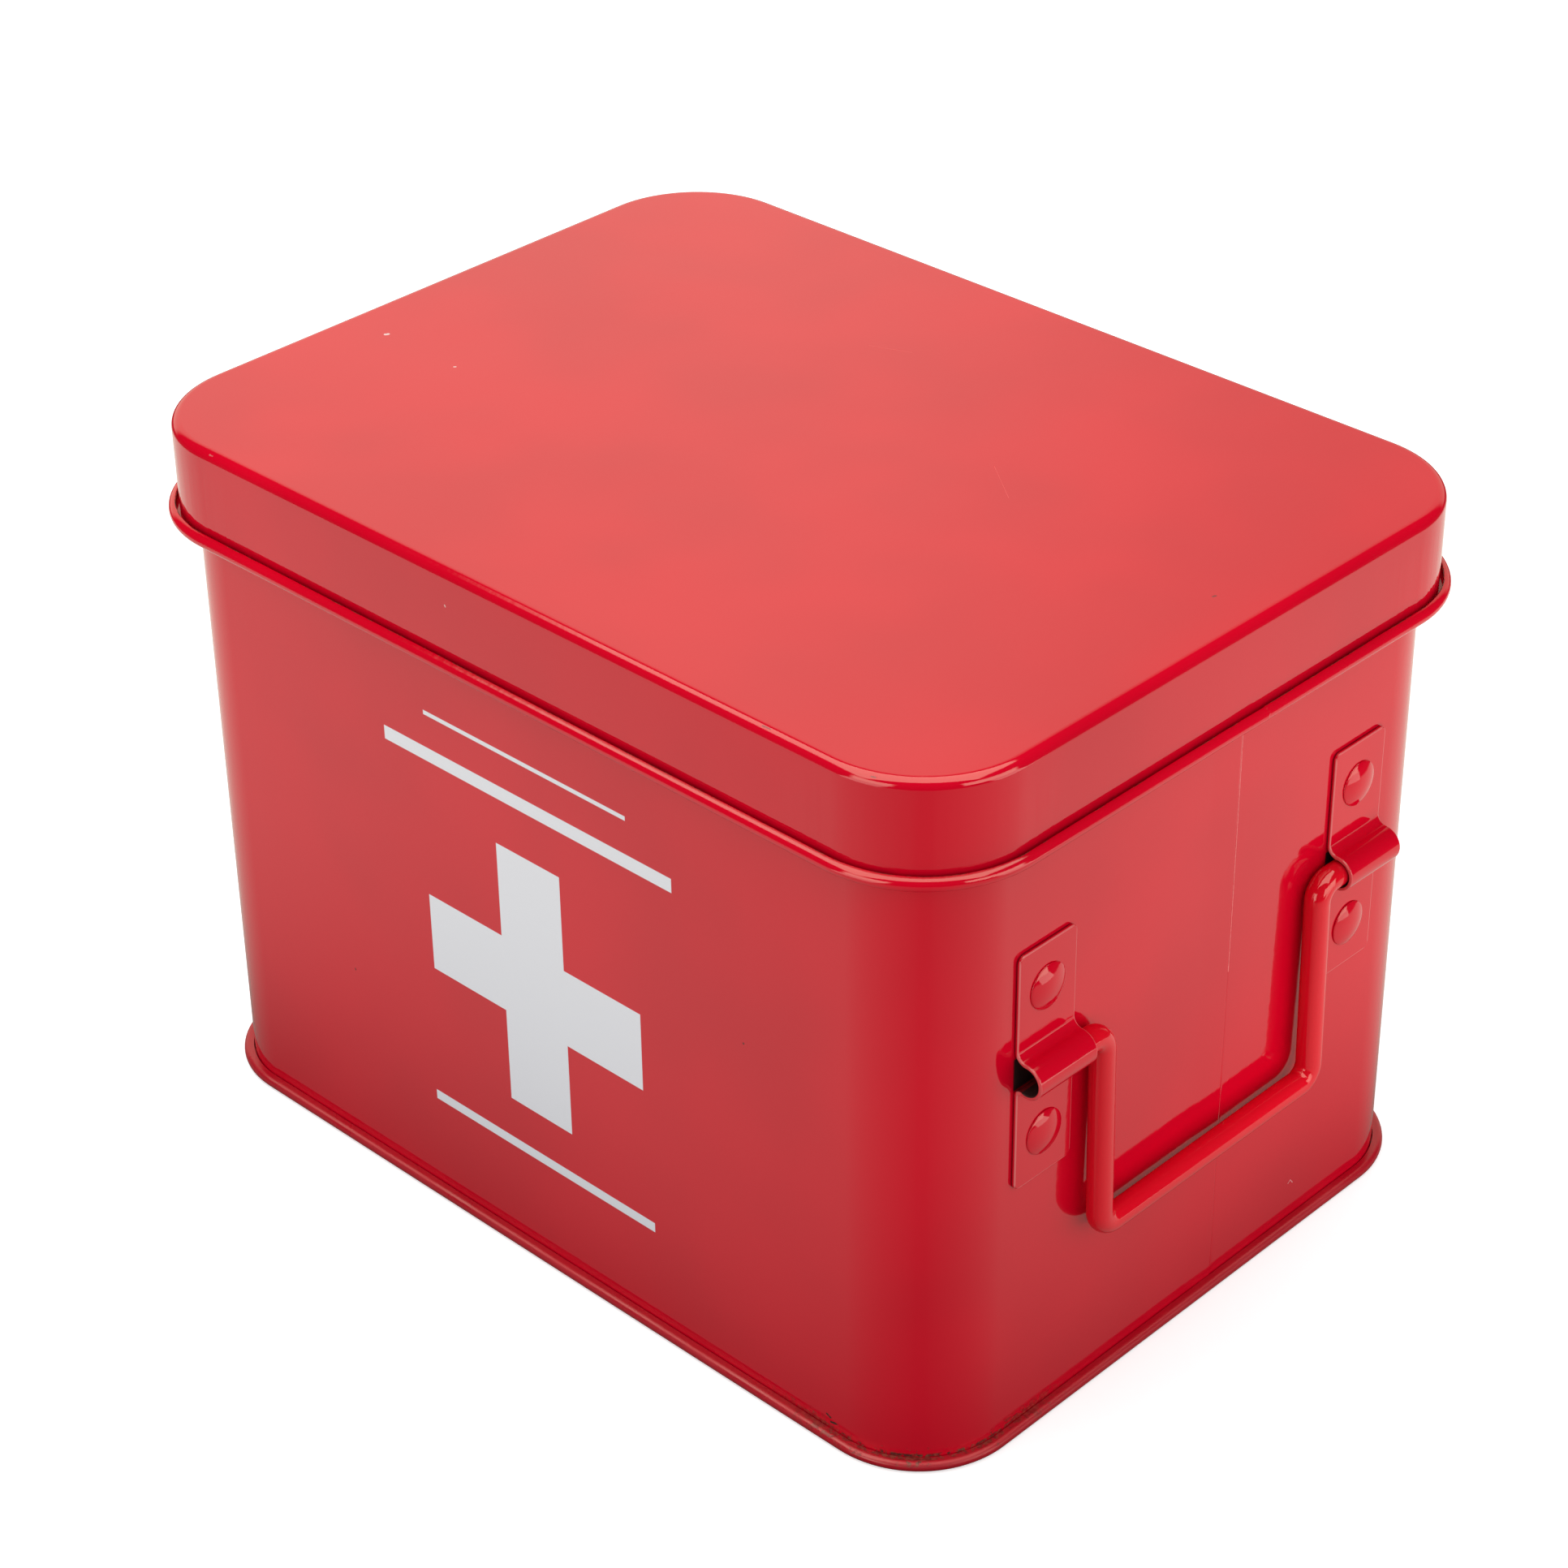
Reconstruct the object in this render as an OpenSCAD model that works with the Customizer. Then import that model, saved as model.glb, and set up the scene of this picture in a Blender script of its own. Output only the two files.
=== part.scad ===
// Painted steel first-aid tin with a lift-off lid and two swinging wire bails.
// Millimetres. Origin: centre of the footprint, on the surface the tin stands on.
// +X runs along the length towards one bail, +Y towards the back, +Z up.

/* [Lid] */
// outside length of the lid skirt
lid_length = 250; // [180:1:320]
// outside width of the lid skirt
lid_width = 185; // [140:1:240]
// overall height, from the bottom seam to the top of the lid
overall_height = 180; // [140:1:240]
// corner radius of the lid skirt, seen from above
lid_corner_r = 27.4; // [20:0.1:40]
// rounding where the lid panel turns down into the skirt
lid_edge_r = 2.4; // [1.5:0.1:4]
// sheet thickness of the lid
lid_sheet = 0.7; // [0.5:0.05:1]
// height of the folded hem inside the foot of the skirt
hem_height = 4.5; // [3:0.5:8]

/* [Body] */
// sheet thickness of the body wall
wall_sheet = 0.6; // [0.5:0.05:1]
// how far the wall sits back from the face of the lid skirt
wall_inset = 4.2; // [3.5:0.1:8]
// how far the centre of the curled rim is below the top of the lid
rim_drop = 23.1; // [18:0.1:30]
// outer radius of the curled rim
rim_r = 1.7; // [1.3:0.05:2]
// air gap between the lid skirt and the lip of the rim
rim_gap = 0.9; // [0.6:0.05:1.5]
// bend radius where the wall turns out under the rim
rim_bend_r = 0.6; // [0.4:0.1:1.5]
// how far the neck reaches up inside the lid skirt
neck_height = 16; // [8:0.5:18]
// air gap between the neck and the hem of the lid
neck_gap = 0.35; // [0.3:0.05:0.8]
// gap between the foot of the skirt and the ledge it closes down on
lid_rest_gap = 0.3; // [0.3:0.05:1]
// distance of the lock seam from the middle of the end wall
seam_offset = 10; // [0:0.5:20]
// width of the folded lock seam on the inside of the wall
seam_width = 6; // [4:0.5:10]

/* [Bottom] */
// sheet thickness of the bottom panel
bottom_sheet = 0.65; // [0.5:0.05:1]
// how far the bottom seam stands out from the wall
seam_out = 2.7; // [2.2:0.1:4]
// how far the bottom panel is raised above the surface
bottom_rise = 3.2; // [2.8:0.1:8]

/* [Brackets and rivets] */
// distance from the middle of the end wall to the middle of a bracket
bracket_spread = 53; // [48:0.5:60]
// height of the pivot of the bails
pivot_height = 99; // [80:1:120]
// width of a bracket strap
strap_width = 18.2; // [14:0.1:24]
// thickness of a bracket strap
strap_sheet = 1; // [0.8:0.1:1.5]
// length of a bracket above and below the pivot
strap_reach = 30; // [26:0.5:36]
// corner rounding of the straps
strap_corner_r = 1.8; // [0.5:0.1:4]
// distance of each rivet from the pivot
rivet_reach = 18.8; // [16:0.1:22]
// radius of a rivet's domed head
rivet_head_r = 5.5; // [4:0.1:8]
// height of a rivet's domed head
rivet_head_h = 1.7; // [1:0.1:3]
// radius of a rivet's shank
rivet_shank_r = 2.5; // [1.5:0.1:3]

/* [Bails] */
// radius of the bail wire
wire_r = 3; // [2:0.1:3.5]
// free space round the wire in its loop and against the wall
wire_gap = 0.3; // [0.3:0.05:0.8]
// distance from the pivot down to the middle of the grip
bail_drop = 52; // [35:0.5:53]
// distance from the middle of the end wall to the middle of a leg
leg_spread = 37.2; // [30:0.1:38]
// centreline radius of the bends of the wire
bail_bend_r = 4.3; // [3.6:0.1:8]
// length of wire inside each loop
stub_length = 12; // [6:0.5:16]
// angle that the bails hang out from the wall, in degrees
bail_lean = 1.2; // [0:0.1:8]

/* [Hidden] */
$fn = 96;
eps = 0.01;
// corner centres, shared by every rolled or drawn ring
corner_x = lid_length / 2 - lid_corner_r;
corner_y = lid_width / 2 - lid_corner_r;
// radii of the rings about the corner centres
skirt_r = lid_corner_r;
wall_r = lid_corner_r - wall_inset;
neck_r = skirt_r - 2 * lid_sheet - neck_gap;
curl_r = skirt_r + rim_gap;
// levels
rim_z = overall_height - rim_drop;
ledge_z = rim_z - rim_r + 2 * wall_sheet;
skirt_z = ledge_z + lid_rest_gap;
neck_z = ledge_z + neck_height;
// bottom seam: two layers of wall held in the curled edge of the bottom panel
hook_r = bottom_sheet;
roll_r = 2 * bottom_sheet;
roll_x = wall_r + seam_out - roll_r;
fold_gap = 0.25;
seam_groove = 0.3;
seam_groove_depth = 0.15;
// bracket loop, measured outwards from the wall and up from the pivot
wall_x = lid_length / 2 - wall_inset;
pivot_x = wire_r + wire_gap;
loop_r = wire_r + wire_gap;
loop_out_r = loop_r + strap_sheet;
strap_bend_r = pivot_x - strap_sheet;
bend_z = strap_bend_r + loop_out_r;
toe_r = 0.8;
toe_x = strap_sheet + toe_r;
toe_z = -loop_out_r - toe_r;
// rivets
rivet_edge = 0.3;
rivet_dome = rivet_head_h - rivet_edge;
rivet_ball = (pow(rivet_head_r, 2) + pow(rivet_dome, 2)) / (2 * rivet_dome);
tail_r = 4;
tail_h = 1.2;
tail_ball = (pow(tail_r, 2) + pow(tail_h, 2)) / (2 * tail_h);
// wire
leg_top = bail_bend_r;
leg_foot = bail_drop - bail_bend_r;
stub_end = bracket_spread - strap_width / 2 + stub_length;

// ---- helpers ----

// the profile, drawn as radius and height, carried round the rounded rectangle
module ring() {
    for (turn = [0 : 3]) {
        along_x = turn % 2 == 0;
        side_x = turn == 0 || turn == 3 ? corner_x : -corner_x;
        side_y = turn < 2 ? corner_y : -corner_y;
        run = along_x ? 2 * corner_y : 2 * corner_x;
        start_x = turn == 0 ? corner_x : turn == 1 ? -corner_x : turn == 2 ? -corner_x : corner_x;
        start_y = turn == 0 ? corner_y : turn == 1 ? corner_y : -corner_y;
        translate([side_x, side_y, 0])
            rotate([0, 0, 90 * turn])
                rotate_extrude(angle = 90)
                    children();
        translate([start_x, start_y, 0])
            rotate([0, 0, 90 * turn])
                rotate([90, 0, 0])
                    linear_extrude(height = run)
                        children();
    }
}

// a flat rectangle between the corner centres, closing a ring's panel
module panel(z, sheet) {
    translate([-corner_x, -corner_y, z])
        cube([2 * corner_x, 2 * corner_y, sheet]);
}

// a plain upright rectangle given by its limits
module span(x0, x1, z0, z1) {
    translate([x0, z0])
        square([x1 - x0, z1 - z0]);
}

// part of a flat ring between two angles no more than 120 degrees apart
module bend(x, z, outer, inner, from, to) {
    reach = 3 * outer;
    translate([x, z])
        intersection() {
            difference() {
                circle(outer);
                circle(inner);
            }
            polygon([
                [0, 0],
                [reach * cos(from), reach * sin(from)],
                [reach * cos((from + to) / 2), reach * sin((from + to) / 2)],
                [reach * cos(to), reach * sin(to)]
            ]);
        }
}

// places a part drawn outwards from the wall on the right or left end
module on_end(right, front) {
    mirror([right ? 0 : 1, 0, 0])
        translate([wall_x, front ? -bracket_spread : bracket_spread, pivot_height])
            children();
}

// the four rivet holes of each end
module rivet_holes() {
    for (side = [0, 1], front = [false, true], up = [-1, 1])
        on_end(side == 1, front)
            translate([-5, 0, up * rivet_reach])
                rotate([0, 90, 0])
                    cylinder(r = rivet_shank_r, h = 10);
}

// ---- lid ----

module lid_outline(radius, edge, low, high) {
    span(0, radius, low, high - edge);
    span(0, radius - edge, low, high);
    translate([radius - edge, high - edge])
        circle(edge);
}

module lid_profile() {
    low = skirt_z + lid_sheet;
    difference() {
        lid_outline(skirt_r, lid_edge_r, low, overall_height);
        lid_outline(skirt_r - lid_sheet, lid_edge_r - lid_sheet, low - 1, overall_height - lid_sheet);
    }
    span(skirt_r - 2 * lid_sheet, skirt_r - lid_sheet + eps, low, low + hem_height);
    translate([skirt_r - lid_sheet, low])
        circle(lid_sheet);
}

module lid() {
    color("#c8001e") {
        ring() lid_profile();
        panel(overall_height - lid_sheet, lid_sheet);
    }
}

// ---- neck ring ----

module neck_profile() {
    foot_r = rim_bend_r / 2;
    foot_x = neck_r + foot_r;
    foot_z = ledge_z + foot_r;
    span(neck_r - wall_sheet, neck_r, foot_z, neck_z - wall_sheet / 2);
    translate([neck_r - wall_sheet / 2, neck_z - wall_sheet / 2])
        circle(wall_sheet / 2);
    bend(foot_x, foot_z, foot_r + wall_sheet, foot_r, 180, 270);
    span(foot_x, curl_r, ledge_z - wall_sheet, ledge_z);
    bend(curl_r, rim_z, rim_r - wall_sheet, 0, -90, 0);
    bend(curl_r, rim_z, rim_r - wall_sheet, 0, 0, 90);
}

module neck_ring() {
    color("#b9c0c4")
        ring() neck_profile();
}

// ---- body wall ----

module wall_profile() {
    turn_x = wall_r + rim_bend_r;
    turn_z = rim_z - rim_r - rim_bend_r;
    span(wall_r - wall_sheet, wall_r, hook_r, turn_z);
    bend(turn_x, turn_z, rim_bend_r + wall_sheet, rim_bend_r, 90, 180);
    span(turn_x, curl_r, rim_z - rim_r, rim_z - rim_r + wall_sheet);
    bend(curl_r, rim_z, rim_r, rim_r - wall_sheet, -90, 0);
    bend(curl_r, rim_z, rim_r, rim_r - wall_sheet, 0, 90);
    span(wall_r - wall_sheet, roll_x, hook_r, 3 * hook_r);
    translate([roll_x, roll_r])
        circle(hook_r);
}

module body_wall() {
    seam_low = bottom_rise + bottom_sheet + 1;
    seam_high = rim_z - rim_r - rim_bend_r - 1;
    color("#c8001e")
        difference() {
            union() {
                ring() wall_profile();
                translate([wall_x - 2 * wall_sheet, seam_offset, seam_low])
                    cube([1.5 * wall_sheet, seam_width, seam_high - seam_low]);
            }
            rivet_holes();
            translate([wall_x - seam_groove_depth, seam_offset, seam_low])
                cube([1, seam_groove, seam_high - seam_low]);
        }
}

// ---- bottom panel ----

module bottom_profile() {
    inner = wall_r - wall_sheet - bottom_sheet;
    span(0, wall_r - wall_sheet, bottom_rise, bottom_rise + bottom_sheet);
    span(inner, wall_r - wall_sheet, 0, bottom_rise + bottom_sheet);
    span(inner, roll_x, 0, bottom_sheet);
    bend(roll_x, roll_r, roll_r, hook_r, -90, 0);
    bend(roll_x, roll_r, roll_r, hook_r, 0, 90);
    span(wall_r + fold_gap, roll_x, roll_r + hook_r, 2 * roll_r);
}

module bottom_panel() {
    color("#c8001e") {
        ring() bottom_profile();
        panel(bottom_rise, bottom_sheet);
    }
}

// ---- brackets ----

module bracket_profile() {
    span(0, strap_sheet, bend_z, strap_reach);
    bend(pivot_x, bend_z, strap_bend_r + strap_sheet, strap_bend_r, 180, 270);
    bend(pivot_x, 0, loop_out_r, loop_r, 0, 90);
    bend(pivot_x, 0, loop_out_r, loop_r, -90, 0);
    span(toe_x, pivot_x, -loop_out_r, -loop_r);
    bend(toe_x, toe_z, toe_r + strap_sheet, toe_r, 90, 180);
    span(0, strap_sheet, -strap_reach, toe_z);
}

// what a rounded corner leaves of a square one, through the strap
module corner_waste(side, up) {
    translate([-1, side * strap_width / 2, up * strap_reach])
        rotate([0, 90, 0])
            linear_extrude(height = strap_sheet + 2)
                difference() {
                    translate([up > 0 ? -1 : -strap_corner_r, side > 0 ? -strap_corner_r : -1])
                        square(strap_corner_r + 1);
                    translate([up * strap_corner_r, -side * strap_corner_r])
                        circle(strap_corner_r);
                }
}

module bracket(right, front) {
    color("#c8001e")
        on_end(right, front)
            difference() {
                translate([0, strap_width / 2, 0])
                    rotate([90, 0, 0])
                        linear_extrude(height = strap_width)
                            bracket_profile();
                for (up = [-1, 1])
                    translate([-1, 0, up * rivet_reach])
                        rotate([0, 90, 0])
                            cylinder(r = rivet_shank_r, h = strap_sheet + 2);
                for (side = [-1, 1], up = [-1, 1])
                    corner_waste(side, up);
            }
}

// ---- rivets ----

module rivet_profile() {
    grip = strap_sheet + wall_sheet;
    span(0, rivet_shank_r, -grip, rivet_edge);
    span(0, rivet_head_r, 0, rivet_edge);
    intersection() {
        span(0, rivet_head_r, rivet_edge, rivet_head_h);
        translate([0, rivet_head_h - rivet_ball])
            circle(rivet_ball);
    }
    intersection() {
        span(0, tail_r, -grip - tail_h, -grip);
        translate([0, tail_ball - grip - tail_h])
            circle(tail_ball);
    }
}

module rivet(right, front, up) {
    color("#c8001e")
        on_end(right, front)
            translate([strap_sheet, 0, up * rivet_reach])
                rotate([0, 90, 0])
                    rotate_extrude()
                        rivet_profile();
}

// ---- bails ----

module wire(from, to) {
    rotate([-90, 0, 0])
        translate([0, 0, from])
            cylinder(r = wire_r, h = to - from);
}

// a quarter turn of wire in the YZ plane about its bend centre
module wire_bend(y, z, turn) {
    translate([0, y, z])
        rotate([90, 0, 90])
            rotate([0, 0, turn])
                rotate_extrude(angle = 90)
                    translate([bail_bend_r, 0])
                        circle(wire_r);
}

module bail_half() {
    wire(leg_spread + bail_bend_r, stub_end);
    wire_bend(leg_spread + bail_bend_r, -bail_bend_r, 90);
    translate([0, leg_spread, -leg_foot])
        cylinder(r = wire_r, h = leg_foot - leg_top);
    wire_bend(leg_spread - bail_bend_r, -leg_foot, 270);
}

module bail(right) {
    color("#d0101e")
        mirror([right ? 0 : 1, 0, 0])
            translate([wall_x + pivot_x, 0, pivot_height])
                rotate([0, -bail_lean, 0]) {
                    bail_half();
                    mirror([0, 1, 0]) bail_half();
                    translate([0, 0, -bail_drop])
                        wire(-leg_spread + bail_bend_r, leg_spread - bail_bend_r);
                }
}

// ---- nodes ----

lid();
neck_ring();
body_wall();
bottom_panel();
bracket(true, true);  // bracket_right_front
bracket(true, false);  // bracket_right_rear
bracket(false, true);  // bracket_left_front
bracket(false, false);  // bracket_left_rear
rivet(true, true, 1);  // rivet_right_front_upper
rivet(true, true, -1);  // rivet_right_front_lower
rivet(true, false, 1);  // rivet_right_rear_upper
rivet(true, false, -1);  // rivet_right_rear_lower
rivet(false, true, 1);  // rivet_left_front_upper
rivet(false, true, -1);  // rivet_left_front_lower
rivet(false, false, 1);  // rivet_left_rear_upper
rivet(false, false, -1);  // rivet_left_rear_lower
bail(true);  // bail_right
bail(false);  // bail_left
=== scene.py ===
"""Red enamelled first-aid tin: lift-off lid, curled rim, seamed bottom and two wire bails."""
import logging
import math
from dataclasses import dataclass
from enum import Enum
from typing import Any

import bmesh
import bpy
from mathutils import Matrix, Vector


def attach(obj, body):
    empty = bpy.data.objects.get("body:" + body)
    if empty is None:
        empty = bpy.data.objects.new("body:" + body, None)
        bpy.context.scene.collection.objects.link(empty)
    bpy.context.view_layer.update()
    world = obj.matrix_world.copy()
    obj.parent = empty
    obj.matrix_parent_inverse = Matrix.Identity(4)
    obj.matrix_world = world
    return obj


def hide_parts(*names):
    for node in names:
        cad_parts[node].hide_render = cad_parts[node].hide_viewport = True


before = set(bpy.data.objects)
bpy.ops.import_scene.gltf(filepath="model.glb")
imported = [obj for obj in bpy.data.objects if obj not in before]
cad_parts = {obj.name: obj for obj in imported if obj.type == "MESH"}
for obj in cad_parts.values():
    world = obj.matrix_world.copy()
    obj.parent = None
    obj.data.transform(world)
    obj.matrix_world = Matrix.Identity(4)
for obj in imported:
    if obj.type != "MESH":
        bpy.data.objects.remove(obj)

LOG = logging.getLogger("tin")
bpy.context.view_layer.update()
MM = 0.001
CORNER_STEPS = 24
SIDE_STEPS = 24

BMesh = bmesh.types.BMesh
Edges = list[bmesh.types.BMEdge]
Tree = bpy.types.NodeTree
Finish = bpy.types.Material
Object = bpy.types.Object
Point = tuple[float, float, float]
Colour = tuple[float, float, float, float]
Values = dict[str | int, Any]
Stops = tuple[tuple[float, float], ...]


class Named(Enum):
    """A choice whose name in small letters is its word in node names."""

    @property
    def word(self) -> str:
        """This choice's word in node names."""
        return self.name.lower()


class End(Named):
    """The two end walls, by the sign of their place along the length."""

    RIGHT = 1
    LEFT = -1


class Row(Named):
    """The two brackets of an end, by the sign of their place along its width."""

    FRONT = -1
    REAR = 1


class Level(Named):
    """The two rivets of a bracket, by the sign of their place over the pivot."""

    UPPER = 1
    LOWER = -1


@dataclass(frozen=True)
class TinSizes:
    """Sizes that several parts or finishes share, in millimetres."""

    length: float = 250.0
    width: float = 185.0
    height: float = 180.0
    corner: float = 27.4
    inset: float = 4.2  # from the lid's skirt in to the wall
    rim_drop: float = 23.1  # from the top down to the middle of the rim
    rim_r: float = 1.7
    rim_gap: float = 0.9  # from the lid's skirt out to the middle of the rim
    wall: float = 0.6
    lid_sheet: float = 0.7
    pivot_z: float = 99.0
    bracket_y: float = 53.0
    wire_r: float = 3.0
    wire_gap: float = 0.3
    strap: float = 1.0
    strap_width: float = 18.2
    strap_reach: float = 30.0

    @property
    def corner_x(self) -> float:
        """Distance of the corner centres from the middle, along the length."""
        return self.length / 2 - self.corner

    @property
    def corner_y(self) -> float:
        """Distance of the corner centres from the middle, along the width."""
        return self.width / 2 - self.corner

    @property
    def wall_r(self) -> float:
        """Radius of the outer face of the wall at a corner."""
        return self.corner - self.inset

    @property
    def curl_r(self) -> float:
        """Radius of the middle of the curled rim at a corner."""
        return self.corner + self.rim_gap

    @property
    def rim_z(self) -> float:
        """Height of the middle of the curled rim."""
        return self.height - self.rim_drop

    @property
    def ledge_z(self) -> float:
        """Height of the ledge that the lid closes down on."""
        return self.rim_z - self.rim_r + 2 * self.wall

    @property
    def wall_x(self) -> float:
        """Distance of the outer face of an end wall from the middle."""
        return self.length / 2 - self.inset

    @property
    def pivot_x(self) -> float:
        """Distance of a bail's pivot from the wall, and the radius of the loops' bore."""
        return self.wire_r + self.wire_gap


SIZES = TinSizes()
UPRIGHT: Point = (0.0, 0.0, 1.0)
WHITE: Colour = (1.0, 1.0, 1.0, 1.0)


def srgb(code: str) -> Colour:
    """Turns a hex colour into a linear colour with full alpha.

    Args:
        code: A hash and six hex digits.

    Returns:
        The linear red, green, blue and alpha.
    """
    parts = [int(code[i : i + 2], 16) / 255 for i in (1, 3, 5)]
    linear = [p / 12.92 if p <= 0.04045 else ((p + 0.055) / 1.055) ** 2.4 for p in parts]
    return (*linear, 1.0)


def link_object(name: str, data: Any) -> Object:
    """Makes an object and puts it in the scene.

    Args:
        name: The object's name.
        data: Its mesh, light or camera.

    Returns:
        The new object.
    """
    made = bpy.data.objects.new(name, data)
    bpy.context.scene.collection.objects.link(made)
    return made


# -------- sheet metal


@dataclass(frozen=True)
class Turn:
    """A turn about an axis, taken in steps."""

    centre: Point
    axis: Point
    degrees: float
    steps: int

    def spin(self, bm: BMesh, geom: list[Any]) -> list[Any]:
        """Spins points and edges, and joins up a full turn.

        Args:
            bm: The mesh.
            geom: The points and edges.

        Returns:
            The points and edges at the end of the turn.
        """
        made = bmesh.ops.spin(
            bm,
            geom=geom,
            cent=self.centre,
            axis=self.axis,
            angle=math.radians(self.degrees),
            steps=self.steps,
            use_merge=self.degrees == 360.0,
        )
        return made["geom_last"]

    def sweep(self, bm: BMesh, edges: Edges) -> Edges:
        """Spins a row of edges.

        Args:
            bm: The mesh.
            edges: The row.

        Returns:
            The new row of edges.
        """
        last = self.spin(bm, edges + list({v for e in edges for v in e.verts}))
        return [g for g in last if isinstance(g, bmesh.types.BMEdge)]


class SheetSection:
    """The cross-section of a bent sheet, drawn in a new mesh as a line in the XZ plane."""

    def __init__(self, x: float, z: float) -> None:
        """Starts the section.

        Args:
            x: The first point's place in millimetres, outwards.
            z: Its place, upwards.
        """
        self.bm = bmesh.new()
        self.tip = self.bm.verts.new((x, 0.0, z))
        self.verts = [self.tip]

    def line(self, x: float, z: float, steps: int = 1) -> "SheetSection":
        """Draws a straight run to a point.

        Args:
            x: Where the run ends, outwards.
            z: Where the run ends, upwards.
            steps: How many pieces the run has.

        Returns:
            This section, for the next call.
        """
        start = self.tip.co.copy()
        for i in range(1, steps + 1):
            made = bmesh.ops.extrude_vert_indiv(self.bm, verts=[self.tip])
            self.tip = made["verts"][0]
            self.tip.co = start.lerp(Vector((x, 0.0, z)), i / steps)
            self.verts.append(self.tip)
        return self

    def arc(self, x: float, z: float, degrees: float, steps: int) -> "SheetSection":
        """Bends on round a centre, anticlockwise for a positive angle.

        Args:
            x: The centre's place, outwards.
            z: The centre's place, upwards.
            degrees: How far to turn.
            steps: How many pieces the bend has.

        Returns:
            This section, for the next call.
        """
        before = set(self.bm.verts)
        last = Turn((x, 0.0, z), (0.0, -1.0, 0.0), degrees, steps).spin(self.bm, [self.tip])
        self.verts.extend(v for v in self.bm.verts if v not in before)
        self.tip = next(g for g in last if isinstance(g, bmesh.types.BMVert))
        return self


def push_edges(bm: BMesh, edges: Edges, step: Vector) -> Edges:
    """Extrudes a row of edges along a step.

    Args:
        bm: The mesh.
        edges: The edges to extrude.
        step: How far and which way.

    Returns:
        The new row of edges.
    """
    made = bmesh.ops.extrude_edge_only(bm, edges=edges)["geom"]
    verts = {g for g in made if isinstance(g, bmesh.types.BMVert)}
    bmesh.ops.translate(bm, verts=list(verts), vec=step)
    return [g for g in made if isinstance(g, bmesh.types.BMEdge) and verts.issuperset(g.verts)]


def tip_over(bm: BMesh, degrees: float, axis: str) -> None:
    """Turns a whole mesh about an axis through its origin."""
    turn = Matrix.Rotation(math.radians(degrees), 3, axis)
    bmesh.ops.rotate(bm, verts=bm.verts, cent=(0, 0, 0), matrix=turn)


def carry_round(section: SheetSection, seam: Stops = ()) -> BMesh:
    """Carries a section round the tin's rounded rectangle and closes it.

    Args:
        section: The section, measured from a corner centre.
        seam: Extra stops on the right end, as distance from the middle and depth.

    Returns:
        The section's mesh, now a closed band.
    """
    bm = section.bm
    cx, cy = SIZES.corner_x, SIZES.corner_y
    bmesh.ops.translate(bm, verts=section.verts, vec=Vector((cx, -cy, 0.0)))
    edges = list(bm.edges)
    along_end = [(-cy + 2 * cy * i / SIDE_STEPS, 0.0) for i in range(1, SIDE_STEPS + 1)]
    if seam:
        low, high = seam[0][0] - 1.0, seam[-1][0] + 1.0
        along_end = sorted([s for s in along_end if not low < s[0] < high] + list(seam))
    here, depth_here = -cy, 0.0
    for y, depth in along_end:
        edges = push_edges(bm, edges, Vector((depth_here - depth, y - here, 0.0)))
        here, depth_here = y, depth
    centres = [Vector((x, y, 0.0)) for x, y in ((cx, cy), (-cx, cy), (-cx, -cy), (cx, -cy))]
    for i, centre in enumerate(centres):
        edges = Turn(tuple(centre), UPRIGHT, 90.0, CORNER_STEPS).sweep(bm, edges)
        for _ in range(SIDE_STEPS if i < 3 else 0):
            edges = push_edges(bm, edges, (centres[i + 1] - centre) / SIDE_STEPS)
    bmesh.ops.remove_doubles(bm, verts=bm.verts, dist=0.01)
    return bm


def close_panel(bm: BMesh, z: float) -> None:
    """Fills the open edge that lies at a level with one flat face.

    Args:
        bm: The mesh.
        z: The level of the open edge.
    """
    loop = [e for e in bm.edges if e.is_boundary and all(abs(v.co.z - z) < 1e-3 for v in e.verts)]
    bmesh.ops.edgeloop_fill(bm, edges=loop)


def face_outwards(bm: BMesh, way: Vector) -> None:
    """Recalculates the normals, and turns them round if the mesh is inside out.

    Args:
        bm: The mesh.
        way: A direction. The furthest face that lies square to it has to look along it.
    """
    bmesh.ops.remove_doubles(bm, verts=bm.verts, dist=0.005)
    bmesh.ops.recalc_face_normals(bm, faces=bm.faces)
    square = [f for f in bm.faces if abs(f.normal.dot(way)) > 0.5]
    if max(square, key=lambda f: f.calc_center_median().dot(way)).normal.dot(way) < 0:
        bmesh.ops.reverse_faces(bm, faces=bm.faces)


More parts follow.
